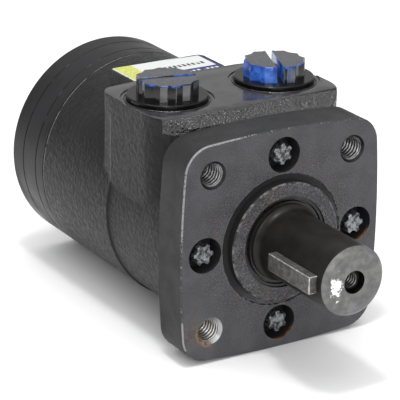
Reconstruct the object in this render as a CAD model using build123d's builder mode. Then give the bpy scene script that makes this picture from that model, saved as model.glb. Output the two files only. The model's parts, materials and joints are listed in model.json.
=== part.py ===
"""Roller orbit motor: square flange, keyed straight shaft and two ports on top.

Millimetres. The origin is the centre of the pilot on the mounting face. The shaft
points along -Y, the body runs back along +Y, +X is to the right seen from the shaft
end and the two ports open upwards along +Z.
"""
from build123d import *
from math import acos, atan2, cos, degrees, hypot, pi, radians, sin, sqrt
import os

# Mounting flange and pilot
flange_width = 83.2
flange_bow_radius = 390.0
flange_corner = 10.5
flange_depth = 15.2
flange_edge = 0.5
pilot_radius = 22.2
pilot_height = 2.8
pilot_groove_radius = 24.5
pilot_groove_depth = 0.6
pilot_groove_edge = 0.35
mount_pitch = 58.4
mount_hole_radius = 4.0
mount_mouth_radius = 5.2
mount_hole_depth = 13.6
seal_bore_radius = 17.1
seal_bore_floor = 3.4
journal_bore_radius = 14.7
gland_radius = 20.6
gland_front = 7.2

# Flange screws: six-lobe heads sunk in recesses at 12, 3, 6 and 9 o'clock
screw_circle = 31.87
screw_recess_radius = 6.6
screw_recess_depth = 8.6
screw_clearance_radius = 4.2
screw_radius = 3.9
screw_collar_radius = 6.2
screw_collar_depth = 2.0
screw_lobe_radius = 4.0
screw_lobe_scoop_radius = 1.5
screw_top = 0.8
screw_end = 29.0

# Housing casting
barrel_radius = 41.3
barrel_front = 53.4
barrel_rear = 102.9
barrel_edge = 0.45
neck_radius = 40.7
block_half_width = 39.5
block_front = 13.1
block_side_rear = 62.2
block_rear = 64.5
block_front_corner = 17.9
block_rear_corner = 6.6
relief_front = 53.5
relief_rear = 62.9
relief_corner = 4.8
relief_depth = 0.8
relief_runout = 0.05
relief_top = 37.0
pad_top = 44.4
pad_front = 21.1
pad_slope_foot = 41.0
pad_slope_skew = 2.0
boss_width = 41.0
boss_front = 58.0
boss_rear = 89.5
boss_top = 41.6
boss_corner = 2.5
spool_bore_radius = 22.25
case_groove_radius = 25.4
front_groove = (28.0, 34.0)
rear_groove = (56.0, 62.0)

# Ports, each with a spot face, a seal seat and a 7/8-14 thread
port_x = 22.8
port_y = 42.0
spot_radius = 17.0
spot_depth = 0.4
seat_mouth_radius = 12.9
seat_floor_radius = 12.5
seat_depth = 2.9
port_thread_radius = 10.6
port_depth = 17.5
passage_radius = 4.0
passage_length = 22.0

# Port plugs
plug_disc_radius = 14.9
plug_disc_bottom = 44.15
plug_disc_depth = 1.9
plug_head_radius = 11.6
plug_head_height = 6.2
plug_slot_width = 2.4
plug_neck_radius = 9.8
plug_neck_depth = 2.9
plug_stem_radius = 10.52
plug_stem_depth = 12.4
plug_hollow_radius = 7.6
plug_left_turn = -15.0
plug_right_turn = 69.0
plug_ring_radius = 11.1
plug_ring_section = 1.22

# Shaft with its integral spool valve
shaft_radius = 12.7
shaft_tip = -44.8
shaft_chamfer = 1.5
journal_radius = 14.3
journal_front = -3.6
journal_cove = 3.0
spool_radius = 22.2
spool_front = 19.3
spool_rear = 96.0
spool_groove_radius = 19.0
slot_width = 3.4
slot_depth = 2.2
window_front = 42.5
window_rear = 48.5
end_hole_radius = 2.55
end_hole_depth = 19.0
end_mouth_radius = 4.2
end_mouth_throat = 3.3
end_mouth_depth = 2.4

# Key on the -X side
key_width = 6.35
key_length = 25.4
key_stand = 2.85
key_rear = -14.9
key_fit = 0.02

# Thrust bearing between flange and spool
race_front = 15.25
race_rear = 17.05
cage_mid = 18.18
cage_depth = 1.3
needle_radius = 1.0
needle_count = 24
needle_inner = 16.4
needle_length = 4.2
thrust_inner = 15.1
thrust_outer = 21.9

# Spacer plate, roller ring, star and end cap
plate_rear = 109.0
ring_rear = 119.0
cap_rear = 128.1
cap_edge = 0.8
stack_edge = 0.35
plate_hole_radius = 15.0
roller_count = 7
roller_circle = 26.5
roller_radius = 6.0
roller_fit = 0.06
ring_inner_radius = 26.0
eccentricity = 2.6
star_clearance = 0.15
side_gap = 0.05
first_roller = 90.0
passage_circle = 25.7
timing_radius = 2.2
plate_passage_circle = 24.8
cap_recess_radius = 16.0
cap_recess_floor = 123.5
orbit_disc_radius = 10.0

# End cap bolts
bolt_circle = 33.0
bolt_radius = 3.95
bolt_hole_radius = 4.2
bolt_front = 88.0
bolt_head_across = 10.0
bolt_head_depth = 3.6
bolt_seat_radius = 6.2
bolt_seat_depth = 1.8

# Face seals
face_seal_inner = 38.6
face_seal_outer = 40.0
face_seal_depth = 1.0
flange_seal_inner = 25.0
flange_seal_outer = 26.6
flange_seal_depth = 1.4

# Crowned splines of the drive link, in the shaft and in the star
spline_teeth = 12
spline_bore_radius = 9.6
spline_root_radius = 11.4
spline_slot_width = 2.8
spline_front = 45.0
spline_rear = 59.0
shaft_hollow_radius = 13.2
link_front_centre = 52.0
link_rear_centre = 114.2
link_core_radius = 9.2
link_tooth_radius = 11.1
link_tooth_width = 2.25
link_crown_half = 5.2
link_crown_drop = 0.35
link_waist_radius = 7.6

# Nameplate on the boss
plate_length = 38.6
plate_width = 24.1
plate_centre_y = 76.75
plate_depth = 0.25

roller_step = 360 / roller_count
bolt_start = first_roller + roller_step / 2


def across(station):
    """Plane across the shaft axis at y = station, facing the shaft end."""
    return Plane.XZ.offset(-station)


def polar(radius, angle):
    """Point across the axis, the angle taken from +X towards +Z."""
    return radius * cos(radians(angle)), radius * sin(radians(angle))


def finish(builder, name):
    builder.part.label = name
    export_step(builder.part, f"parts/{name}.step")


def washer(inner, outer, front, rear):
    with BuildPart() as ring:
        with BuildSketch(across(rear)):
            Circle(outer)
            Circle(inner, mode=Mode.SUBTRACT)
        extrude(amount=rear - front)
    return ring


def turned(outline):
    """Solid of revolution about the shaft axis from (radius, station) corners."""
    with BuildPart() as body:
        with BuildSketch(Plane.XY):
            with BuildLine():
                Polyline(*outline, close=True)
            make_face()
        revolve(axis=Axis.Y)
    return body


def flange_outline():
    """Corner points and middle points of the four outward-bowed sides of the flange."""
    rise = flange_bow_radius - flange_width / 2
    corner = (sqrt(2 * flange_bow_radius ** 2 - rise ** 2) - rise) / 2
    corners = [polar(corner * sqrt(2), 45 + 90 * side) for side in range(4)]
    middles = [polar(flange_width / 2, 90 + 90 * side) for side in range(4)]
    return corners, middles


def relief_outline(side, depth, steps=6):
    """Corner cut from the block's plan: a shallow lead-in, then a turn onto the back face."""
    centre_x = block_half_width - depth - relief_corner
    centre_y = relief_rear - relief_corner
    across_x, across_y = block_half_width - centre_x, relief_front - centre_y
    lead_in = atan2(across_y, across_x) + acos(relief_corner / hypot(across_x, across_y))
    points = [(block_half_width, relief_front)]
    for step in range(steps + 1):
        angle = lead_in + (pi / 2 - lead_in) * step / steps
        points.append((centre_x + relief_corner * cos(angle),
                       centre_y + relief_corner * sin(angle)))
    reach = barrel_radius + 1
    points += [(centre_x, block_rear + 1), (reach, block_rear + 1), (reach, relief_front)]
    return [(side * x, y) for x, y in points]


def star_outline(steps=144):
    """Six-lobe path inside seven rollers, offset inwards by a roller and a clearance."""
    inset = roller_radius + star_clearance
    points = []
    for step in range(steps):
        t = 2 * pi * step / steps
        x = roller_circle * cos(t) - eccentricity * cos(roller_count * t)
        y = roller_circle * sin(t) - eccentricity * sin(roller_count * t)
        dx = -roller_circle * sin(t) + roller_count * eccentricity * sin(roller_count * t)
        dy = roller_circle * cos(t) - roller_count * eccentricity * cos(roller_count * t)
        length = hypot(dx, dy)
        points.append((x - inset * dy / length, y + inset * dx / length))
    return points


os.makedirs("parts", exist_ok=True)

# Mounting flange
with BuildPart() as mounting_flange:
    corners, middles = flange_outline()
    with BuildSketch(across(flange_depth)) as flange_plan:
        with BuildLine():
            for side in range(4):
                ThreePointArc(corners[side], middles[side], corners[(side + 1) % 4])
        make_face()
        fillet(flange_plan.vertices(), flange_corner)
    extrude(amount=flange_depth)
    chamfer(mounting_flange.faces().sort_by(Axis.Y)[0].outer_wire().edges(), flange_edge)
    with BuildSketch(across(0)):
        Circle(pilot_radius)
    extrude(amount=pilot_height)
    chamfer(mounting_flange.faces().sort_by(Axis.Y)[0].outer_wire().edges(), flange_edge)
    with BuildSketch(across(0)):
        Circle(pilot_groove_radius)
        Circle(pilot_radius, mode=Mode.SUBTRACT)
    extrude(amount=-pilot_groove_depth, mode=Mode.SUBTRACT)
    chamfer(mounting_flange.edges().filter_by(GeomType.CIRCLE).filter_by(
        lambda edge: abs(edge.radius - pilot_groove_radius) < 0.01 and abs(edge.center().Y) < 0.01),
        pilot_groove_edge)
    with BuildSketch(across(-pilot_height)):
        Circle(seal_bore_radius)
    extrude(amount=-pilot_height - seal_bore_floor, mode=Mode.SUBTRACT)
    with BuildSketch(across(flange_depth)):
        Circle(journal_bore_radius)
    extrude(amount=flange_depth, mode=Mode.SUBTRACT)
    with BuildSketch(across(flange_depth)):
        Circle(gland_radius)
    extrude(amount=flange_depth - gland_front, mode=Mode.SUBTRACT)
    with BuildSketch(across(mount_hole_depth)):
        with GridLocations(mount_pitch, mount_pitch, 2, 2):
            Circle(mount_hole_radius)
    extrude(amount=mount_hole_depth, mode=Mode.SUBTRACT)
    with BuildSketch(across(flange_depth)):
        with PolarLocations(screw_circle, 4):
            Circle(screw_clearance_radius)
    extrude(amount=flange_depth, mode=Mode.SUBTRACT)
    with BuildSketch(across(screw_recess_depth)):
        with PolarLocations(screw_circle, 4):
            Circle(screw_recess_radius)
    extrude(amount=screw_recess_depth, mode=Mode.SUBTRACT)
    mouths = mounting_flange.edges().filter_by(GeomType.CIRCLE).filter_by(
        lambda edge: abs(edge.radius - mount_hole_radius) < 0.01 and edge.center().Y < 0.01)
    chamfer(mouths, mount_mouth_radius - mount_hole_radius)
finish(mounting_flange, "mounting_flange")

# Flange screws
with BuildPart() as flange_screws:
    with BuildSketch(across(screw_recess_depth)):
        with PolarLocations(screw_circle, 4):
            Circle(screw_collar_radius)
    extrude(amount=screw_collar_depth)
    with BuildSketch(across(screw_recess_depth - screw_collar_depth)):
        with PolarLocations(screw_circle, 4):
            Circle(screw_lobe_radius)
        for angle in (0, 90, 180, 270):
            with Locations(polar(screw_circle, angle)):
                with PolarLocations(screw_lobe_radius + 0.45, 6, start_angle=angle + 30):
                    Circle(screw_lobe_scoop_radius, mode=Mode.SUBTRACT)
    extrude(amount=screw_recess_depth - screw_collar_depth - screw_top)
    with BuildSketch(across(screw_end)):
        with PolarLocations(screw_circle, 4):
            Circle(screw_radius)
    extrude(amount=screw_end - screw_recess_depth)
finish(flange_screws, "flange_screws")

# Housing
with BuildPart() as housing:
    # Port block, cut off at the flange, its front top edge sloping down to the flange
    with BuildSketch(Plane.XY.offset(pad_top)) as block_plan:
        with BuildLine():
            Polyline((-block_half_width, block_front), (block_half_width, block_front),
                     (block_half_width, block_side_rear), (boss_width / 2, block_rear),
                     (-boss_width / 2, block_rear), (-block_half_width, block_side_rear),
                     close=True)
        make_face()
        fillet(block_plan.vertices().group_by(Axis.Y)[0], block_front_corner)
        fillet(block_plan.vertices().filter_by(
            lambda v: abs(v.Y - block_side_rear) < 0.01), block_rear_corner)
    extrude(amount=-pad_top)
    with BuildSketch(across(flange_depth)):
        Rectangle(2 * barrel_radius, 3 * pad_top)
    extrude(amount=flange_depth, mode=Mode.SUBTRACT)
    slope = (pad_top - pad_slope_foot) / (pad_front - flange_depth)
    skew = radians(pad_slope_skew)
    with BuildSketch(Plane(origin=(0, 0, 0), x_dir=(-sin(skew), cos(skew), 0),
                           z_dir=(cos(skew), sin(skew), 0))):
        with BuildLine():
            Polyline((flange_depth - 4, pad_slope_foot - 4 * slope),
                     (pad_front + 4, pad_top + 4 * slope),
                     (flange_depth - 4, pad_top + 4 * slope), close=True)
        make_face()
    extrude(amount=barrel_radius + 1, both=True, mode=Mode.SUBTRACT)
    # Relief down the rear upright edges of the block, running out at the machined pad
    for side in (-1, 1):
        with BuildSketch(Plane.XY.offset(pad_top)):
            Polygon(*relief_outline(side, relief_runout), align=None)
        with BuildSketch(Plane.XY.offset(relief_top)):
            Polygon(*relief_outline(side, relief_depth), align=None)
        loft(mode=Mode.SUBTRACT)
        with BuildSketch(Plane.XY.offset(relief_top)):
            Polygon(*relief_outline(side, relief_depth), align=None)
        extrude(amount=-relief_top, mode=Mode.SUBTRACT)
    # Barrel, with a small step down to the neck behind the flange
    with BuildSketch(Plane.XY):
        with BuildLine():
            Polyline((0, flange_depth), (neck_radius, flange_depth),
                     (neck_radius, barrel_front - barrel_radius + neck_radius),
                     (barrel_radius, barrel_front), (barrel_radius, barrel_rear - barrel_edge),
                     (barrel_radius - barrel_edge, barrel_rear), (0, barrel_rear), close=True)
        make_face()
    revolve(axis=Axis.Y)
    with BuildSketch(Plane.XY.offset(boss_top)):
        with Locations((0, (boss_front + boss_rear) / 2)):
            RectangleRounded(boss_width, boss_rear - boss_front, boss_corner)
    extrude(amount=-boss_top / 2)
    # Spool bore with its two port grooves
    with BuildSketch(across(barrel_rear)):
        Circle(spool_bore_radius)
    extrude(amount=barrel_rear - flange_depth, mode=Mode.SUBTRACT)
    for front, rear in (front_groove, rear_groove):
        with BuildSketch(across(rear)):
            Circle(case_groove_radius)
        extrude(amount=rear - front, mode=Mode.SUBTRACT)
    # Ports and the drillings from them to the grooves
    for side, groove in ((-1, front_groove), (1, rear_groove)):
        with BuildSketch(Plane.XY.offset(pad_top)):
            with Locations((side * port_x, port_y)):
                Circle(spot_radius)
        extrude(amount=-spot_depth, mode=Mode.SUBTRACT)
        with BuildSketch(Plane.XY.offset(pad_top - spot_depth)):
            with Locations((side * port_x, port_y)):
                Circle(seat_mouth_radius)
        extrude(amount=-seat_depth, mode=Mode.SUBTRACT,
                taper=degrees(atan2(seat_mouth_radius - seat_floor_radius, seat_depth)))
        with BuildSketch(Plane.XY.offset(pad_top)):
            with Locations((side * port_x, port_y)):
                Circle(port_thread_radius)
        extrude(amount=-port_depth, mode=Mode.SUBTRACT)
        start = Vector(side * port_x * 0.9, port_y, pad_top - port_depth + passage_radius)
        target = Vector(side * port_x * 0.6, sum(groove) / 2, case_groove_radius * 0.72)
        with BuildSketch(Plane(origin=start, z_dir=target - start)):
            Circle(passage_radius)
        extrude(amount=(target - start).length, mode=Mode.SUBTRACT)
    # Timing passages, from windows in the bore back to the rear face
    with BuildSketch(across(barrel_rear)):
        with PolarLocations(passage_circle, roller_count, start_angle=bolt_start):
            Circle(timing_radius)
    extrude(amount=barrel_rear - window_front, mode=Mode.SUBTRACT)
    with BuildSketch(across(window_rear)):
        with PolarLocations(spool_bore_radius + 1, roller_count, start_angle=bolt_start):
            Rectangle(5, 2 * timing_radius - 0.8)
    extrude(amount=window_rear - window_front, mode=Mode.SUBTRACT)
    # Threaded holes for the flange screws and the end cap bolts, and the seal grooves
    with BuildSketch(across(screw_end + 2)):
        with PolarLocations(screw_circle, 4):
            Circle(screw_radius + 0.05)
    extrude(amount=screw_end + 2 - flange_depth, mode=Mode.SUBTRACT)
    with BuildSketch(across(barrel_rear)):
        with PolarLocations(bolt_circle, roller_count, start_angle=bolt_start):
            Circle(bolt_radius + 0.05)
    extrude(amount=barrel_rear - bolt_front + 2, mode=Mode.SUBTRACT)
    with BuildSketch(across(barrel_rear)):
        Circle(face_seal_outer)
        Circle(face_seal_inner, mode=Mode.SUBTRACT)
    extrude(amount=face_seal_depth, mode=Mode.SUBTRACT)
    with BuildSketch(across(flange_depth + flange_seal_depth)):
        Circle(flange_seal_outer)
        Circle(flange_seal_inner, mode=Mode.SUBTRACT)
    extrude(amount=flange_seal_depth, mode=Mode.SUBTRACT)
finish(housing, "housing")

# Seals held by the flange
exclusion_seal = turned([
    (14.36, -2.5), (15.1, -2.5), (15.3, -1.2), (15.8, -1.2), (16.0, -2.1), (17.05, -2.1),
    (17.05, 3.3), (15.6, 3.3), (15.4, 0.8), (14.36, -0.4)])
finish(exclusion_seal, "exclusion_seal")
shaft_seal = turned([
    (14.38, 9.6), (15.4, 8.4), (20.55, 8.4), (20.55, 13.2), (18.2, 13.2), (18.0, 10.2),
    (15.8, 10.2), (15.4, 13.0), (14.38, 11.4)])
finish(shaft_seal, "shaft_seal")
finish(washer(journal_bore_radius, gland_radius - 0.05, gland_front, 8.35), "backup_washer")
finish(washer(journal_bore_radius, gland_radius - 0.05, 13.25, flange_depth), "gland_washer")
finish(washer(flange_seal_inner, flange_seal_outer, flange_depth,
              flange_depth + flange_seal_depth), "flange_seal")

# Thrust bearing: a race on the flange, then a cage of radial needles
finish(washer(thrust_inner, thrust_outer, race_front, race_rear), "thrust_race")
with BuildPart() as thrust_cage:
    with BuildSketch(across(cage_mid + cage_depth / 2)):
        Circle(thrust_outer)
        Circle(thrust_inner, mode=Mode.SUBTRACT)
        with PolarLocations(needle_inner + needle_length / 2, needle_count):
            Rectangle(needle_length + 0.2, 2 * needle_radius + 0.2, mode=Mode.SUBTRACT)
    extrude(amount=cage_depth)
finish(thrust_cage, "thrust_cage")
with BuildPart() as thrust_needles:
    for count in range(needle_count):
        x, z = polar(1, 360 * count / needle_count)
        foot = Vector(x * needle_inner, cage_mid, z * needle_inner)
        with BuildSketch(Plane(origin=foot, z_dir=(x, 0, z))):
            Circle(needle_radius)
        extrude(amount=needle_length)
finish(thrust_needles, "thrust_needles")

# Output shaft and spool valve
with BuildPart() as output_shaft:
    with BuildSketch(Plane.XY):
        with BuildLine():
            Polyline((0, spool_rear), (0, shaft_tip), (shaft_radius - shaft_chamfer, shaft_tip),
                     (shaft_radius, shaft_tip + shaft_chamfer),
                     (shaft_radius, journal_front - journal_cove))
            cove = RadiusArc((shaft_radius, journal_front - journal_cove),
                             (journal_radius, journal_front), journal_cove * 1.3)
            Polyline((journal_radius, journal_front), (journal_radius, spool_front),
                     (spool_radius, spool_front), (spool_radius, spool_rear), (0, spool_rear))
        make_face()
    revolve(axis=Axis.Y)
    # Port grooves and the slots that reach from each of them past the timing windows
    for front, rear in (front_groove, rear_groove):
        with BuildSketch(across(rear)):
            Circle(spool_radius + 1)
            Circle(spool_groove_radius, mode=Mode.SUBTRACT)
        extrude(amount=rear - front, mode=Mode.SUBTRACT)
    for start_angle, rear, length in (
            (0, window_rear + 2, window_rear + 2 - front_groove[1]),
            (30, rear_groove[0], rear_groove[0] - window_front + 2)):
        with BuildSketch(across(rear)):
            with PolarLocations(spool_radius, 6, start_angle=start_angle):
                Rectangle(2 * slot_depth, slot_width)
        extrude(amount=length, mode=Mode.SUBTRACT)
    # Hollow rear end with the internal spline for the drive link
    with BuildSketch(across(spool_rear)):
        Circle(shaft_hollow_radius)
    extrude(amount=spool_rear - spline_rear, mode=Mode.SUBTRACT)
    with BuildSketch(across(spline_rear)):
        Circle(spline_bore_radius)
        with PolarLocations(spline_bore_radius, spline_teeth):
            Rectangle(2 * (spline_root_radius - spline_bore_radius), spline_slot_width)
    extrude(amount=spline_rear - spline_front, mode=Mode.SUBTRACT)
    # Tapped hole in the shaft end
    with BuildSketch(across(shaft_tip)):
        Circle(end_hole_radius)
    extrude(amount=-end_hole_depth, mode=Mode.SUBTRACT)
    with BuildSketch(across(shaft_tip)):
        Circle(end_mouth_radius)
    extrude(amount=-end_mouth_depth, mode=Mode.SUBTRACT,
            taper=degrees(atan2(end_mouth_radius - end_mouth_throat, end_mouth_depth)))
    # Keyway
    with BuildSketch(Plane.YZ.offset(-shaft_radius - 1)):
        with Locations((key_rear - key_length / 2, 0)):
            Rectangle(key_length + 2 * key_fit, key_width + 2 * key_fit)
    extrude(amount=1 + key_width - key_stand + key_fit, mode=Mode.SUBTRACT)
finish(output_shaft, "output_shaft")

# Key
with BuildPart() as shaft_key:
    with BuildSketch(Plane.YZ.offset(-shaft_radius - key_stand)):
        with Locations((key_rear - key_length / 2, 0)):
            Rectangle(key_length, key_width)
    extrude(amount=key_width)
    chamfer(shaft_key.edges(), 0.3)
finish(shaft_key, "shaft_key")

# Drive link: a dog bone leaning from the shaft axis to the star's offset axis
lean = Vector(0, link_rear_centre - link_front_centre, eccentricity)
link_length = lean.length
link_axis = lean.normalized()
link_half = link_crown_half
with BuildPart() as drive_link:
    for centre in (0, link_length):
        base = Vector(0, link_front_centre, 0) + link_axis * (centre - link_half)
        with BuildSketch(Plane(origin=base, x_dir=(1, 0, 0), z_dir=link_axis)):
            Circle(link_core_radius)
            with PolarLocations(link_core_radius, spline_teeth):
                Rectangle(2 * (link_tooth_radius - link_core_radius), link_tooth_width)
        extrude(amount=2 * link_half)
    link_start = Vector(0, link_front_centre, 0) - link_axis * link_half
    side_plane = Plane(origin=link_start, x_dir=link_axis, z_dir=(1, 0, 0))
    crown = link_tooth_radius - link_crown_drop
    end = link_length + 2 * link_half
    with BuildSketch(side_plane):
        with BuildLine():
            Line((0, 0), (0, crown))
            ThreePointArc((0, crown), (link_half, link_tooth_radius), (2 * link_half, crown))
            Line((2 * link_half, crown), (end - 2 * link_half, crown))
            ThreePointArc((end - 2 * link_half, crown), (end - link_half, link_tooth_radius),
                          (end, crown))
            Polyline((end, crown), (end, 0), (0, 0))
        make_face()
    revolve(axis=Axis(link_start, link_axis), mode=Mode.INTERSECT)
    waist_base = link_start + link_axis * link_half
    with BuildSketch(Plane(origin=waist_base, x_dir=(1, 0, 0), z_dir=link_axis)):
        Circle(link_waist_radius)
    extrude(amount=link_length)
finish(drive_link, "drive_link")

# Spacer plate
with BuildPart() as spacer_plate:
    with BuildSketch(across(plate_rear)):
        Circle(barrel_radius)
    extrude(amount=plate_rear - barrel_rear)
    chamfer(spacer_plate.edges(), stack_edge)
    with BuildSketch(across(plate_rear)):
        Circle(plate_hole_radius)
        with PolarLocations(bolt_circle, roller_count, start_angle=bolt_start):
            Circle(bolt_hole_radius)
        with PolarLocations(plate_passage_circle, roller_count, start_angle=bolt_start):
            Circle(timing_radius)
    extrude(amount=plate_rear - barrel_rear, mode=Mode.SUBTRACT)
    with BuildSketch(across(plate_rear)):
        Circle(face_seal_outer)
        Circle(face_seal_inner, mode=Mode.SUBTRACT)
    extrude(amount=face_seal_depth, mode=Mode.SUBTRACT)
finish(spacer_plate, "spacer_plate")

# Roller ring
with BuildPart() as roller_ring:
    with BuildSketch(across(ring_rear)):
        Circle(barrel_radius)
    extrude(amount=ring_rear - plate_rear)
    chamfer(roller_ring.edges(), stack_edge)
    with BuildSketch(across(ring_rear)):
        Circle(ring_inner_radius)
        with PolarLocations(roller_circle, roller_count, start_angle=first_roller):
            Circle(roller_radius + roller_fit)
        with PolarLocations(bolt_circle, roller_count, start_angle=bolt_start):
            Circle(bolt_hole_radius)
    extrude(amount=ring_rear - plate_rear, mode=Mode.SUBTRACT)
finish(roller_ring, "roller_ring")

# Rollers, one piece each because each of them turns in its own pocket
for count in range(roller_count):
    with BuildPart() as roller:
        with BuildSketch(across(ring_rear - side_gap)):
            with Locations(polar(roller_circle, first_roller + count * roller_step)):
                Circle(roller_radius)
        extrude(amount=ring_rear - plate_rear - 2 * side_gap)
        chamfer(roller.edges().filter_by(GeomType.CIRCLE), 0.3)
    finish(roller, f"roller_{count + 1}")

# Star, offset towards the first roller
with BuildPart() as rotor_star:
    star_centre = polar(eccentricity, first_roller)
    with BuildSketch(across(ring_rear - side_gap)):
        with BuildLine():
            Spline(*[(star_centre[0] - y, star_centre[1] + x) for x, y in star_outline()],
                   periodic=True)
        make_face()
        with Locations(star_centre):
            Circle(spline_bore_radius, mode=Mode.SUBTRACT)
            with PolarLocations(spline_bore_radius, spline_teeth):
                Rectangle(2 * (spline_root_radius - spline_bore_radius), spline_slot_width,
                          mode=Mode.SUBTRACT)
    extrude(amount=ring_rear - plate_rear - 2 * side_gap)
finish(rotor_star, "rotor_star")

# Spacer behind the drive link, which goes round with the star's centre
with BuildPart() as drive_spacer:
    with BuildSketch(across(cap_recess_floor - 0.3)):
        with Locations(star_centre):
            Circle(orbit_disc_radius)
    extrude(amount=cap_recess_floor - 0.3 - (ring_rear + 1.7))
    chamfer(drive_spacer.edges(), 0.4)
finish(drive_spacer, "drive_spacer")

# End cap and its bolts
with BuildPart() as end_cap:
    with BuildSketch(across(cap_rear)):
        Circle(barrel_radius)
    extrude(amount=cap_rear - ring_rear)
    chamfer(end_cap.faces().sort_by(Axis.Y)[0].edges(), stack_edge)
    chamfer(end_cap.faces().sort_by(Axis.Y)[-1].edges(), cap_edge)
    with BuildSketch(across(cap_rear)):
        with PolarLocations(bolt_circle, roller_count, start_angle=bolt_start):
            Circle(bolt_hole_radius)
    extrude(amount=cap_rear - ring_rear, mode=Mode.SUBTRACT)
    with BuildSketch(across(cap_rear)):
        with PolarLocations(bolt_circle, roller_count, start_angle=bolt_start):
            Circle(bolt_seat_radius)
    extrude(amount=bolt_seat_depth, mode=Mode.SUBTRACT)
    with BuildSketch(across(cap_recess_floor)):
        Circle(cap_recess_radius)
    extrude(amount=cap_recess_floor - ring_rear, mode=Mode.SUBTRACT)
    with BuildSketch(across(ring_rear + face_seal_depth)):
        Circle(face_seal_outer)
        Circle(face_seal_inner, mode=Mode.SUBTRACT)
    extrude(amount=face_seal_depth, mode=Mode.SUBTRACT)
finish(end_cap, "end_cap")

with BuildPart() as end_cap_bolts:
    with BuildSketch(across(cap_rear - bolt_seat_depth)):
        with PolarLocations(bolt_circle, roller_count, start_angle=bolt_start):
            Circle(bolt_radius)
    extrude(amount=cap_rear - bolt_seat_depth - bolt_front)
    with BuildSketch(across(cap_rear - bolt_seat_depth + bolt_head_depth)):
        with PolarLocations(bolt_circle, roller_count, start_angle=bolt_start):
            RegularPolygon(bolt_head_across / 2, 6, major_radius=False)
    extrude(amount=bolt_head_depth)
finish(end_cap_bolts, "end_cap_bolts")

# Face seals: one in the housing, one in the spacer plate and one in the end cap
for rear, name in ((barrel_rear, "housing_face_seal"), (plate_rear, "plate_face_seal"),
                   (ring_rear + face_seal_depth, "cap_face_seal")):
    finish(washer(face_seal_inner, face_seal_outer, rear - face_seal_depth, rear), name)

# Port plugs with their seal rings
for side, turn, name in ((-1, plug_left_turn, "left"), (1, plug_right_turn, "right")):
    centre = (side * port_x, port_y)
    head_base = plug_disc_bottom + plug_disc_depth
    with BuildPart() as port_plug:
        with BuildSketch(Plane.XY.offset(plug_disc_bottom)):
            with Locations(centre):
                Circle(plug_disc_radius)
        extrude(amount=plug_disc_depth)
        chamfer(port_plug.faces().sort_by(Axis.Z)[-1].edges(), 0.4)
        with BuildSketch(Plane.XY.offset(head_base)):
            with Locations(centre):
                RegularPolygon(plug_head_radius, 6, rotation=turn)
                RegularPolygon(plug_head_radius, 6, rotation=turn + 30)
        extrude(amount=plug_head_height)
        with BuildSketch(Plane.XY.offset(head_base)):
            with Locations(centre):
                Rectangle(2 * plug_head_radius + 1, plug_slot_width, rotation=turn)
        extrude(amount=plug_head_height, mode=Mode.SUBTRACT)
        with BuildSketch(Plane.XY.offset(plug_disc_bottom)):
            with Locations(centre):
                Circle(plug_neck_radius)
        extrude(amount=-plug_neck_depth)
        with BuildSketch(Plane.XY.offset(plug_disc_bottom - plug_neck_depth)):
            with Locations(centre):
                Circle(plug_stem_radius)
        extrude(amount=plug_neck_depth - plug_stem_depth)
        chamfer(port_plug.faces().sort_by(Axis.Z)[0].edges(), 0.8)
        with BuildSketch(Plane.XY.offset(plug_disc_bottom - plug_stem_depth)):
            with Locations(centre):
                Circle(plug_hollow_radius)
        extrude(amount=plug_stem_depth, mode=Mode.SUBTRACT)
    finish(port_plug, f"port_plug_{name}")
    with BuildPart() as plug_ring:
        ring_z = plug_disc_bottom - plug_ring_section - 0.05
        with BuildSketch(Plane.XZ.offset(-port_y)):
            with Locations((side * port_x + plug_ring_radius, ring_z)):
                Circle(plug_ring_section)
        revolve(axis=Axis((side * port_x, port_y, 0), (0, 0, 1)))
    finish(plug_ring, f"plug_seal_{name}")

# Nameplate
with BuildPart() as nameplate:
    with BuildSketch(Plane.XY.offset(boss_top)):
        with Locations((0, plate_centre_y)):
            RectangleRounded(plate_length, plate_width, 1.2)
    extrude(amount=plate_depth)
finish(nameplate, "nameplate")
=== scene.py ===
import json
import math

import bmesh
import bpy
from mathutils import Matrix, Vector, noise


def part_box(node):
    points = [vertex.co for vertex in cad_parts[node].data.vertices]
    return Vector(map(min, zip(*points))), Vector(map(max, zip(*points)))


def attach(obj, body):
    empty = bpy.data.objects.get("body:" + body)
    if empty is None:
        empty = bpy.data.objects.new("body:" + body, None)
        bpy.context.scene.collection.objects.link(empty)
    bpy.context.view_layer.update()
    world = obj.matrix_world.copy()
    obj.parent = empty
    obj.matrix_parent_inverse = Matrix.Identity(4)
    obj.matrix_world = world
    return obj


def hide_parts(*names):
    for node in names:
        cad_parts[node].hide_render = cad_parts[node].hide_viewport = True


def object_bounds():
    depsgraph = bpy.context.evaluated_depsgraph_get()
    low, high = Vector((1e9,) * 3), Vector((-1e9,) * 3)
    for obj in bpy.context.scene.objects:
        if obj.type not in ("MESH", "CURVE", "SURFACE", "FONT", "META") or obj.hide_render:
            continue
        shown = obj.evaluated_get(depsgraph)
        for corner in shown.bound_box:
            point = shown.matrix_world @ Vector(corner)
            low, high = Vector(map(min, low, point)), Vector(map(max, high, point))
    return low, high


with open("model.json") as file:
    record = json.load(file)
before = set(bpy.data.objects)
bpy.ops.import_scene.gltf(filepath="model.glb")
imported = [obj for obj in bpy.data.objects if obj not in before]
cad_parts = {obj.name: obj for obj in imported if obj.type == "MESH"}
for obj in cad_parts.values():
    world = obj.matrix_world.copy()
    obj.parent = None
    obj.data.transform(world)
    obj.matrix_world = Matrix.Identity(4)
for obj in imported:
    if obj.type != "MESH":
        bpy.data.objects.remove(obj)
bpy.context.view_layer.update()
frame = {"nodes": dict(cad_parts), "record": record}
nodes = frame["nodes"]
scene = bpy.context.scene
mm = 0.001

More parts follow.
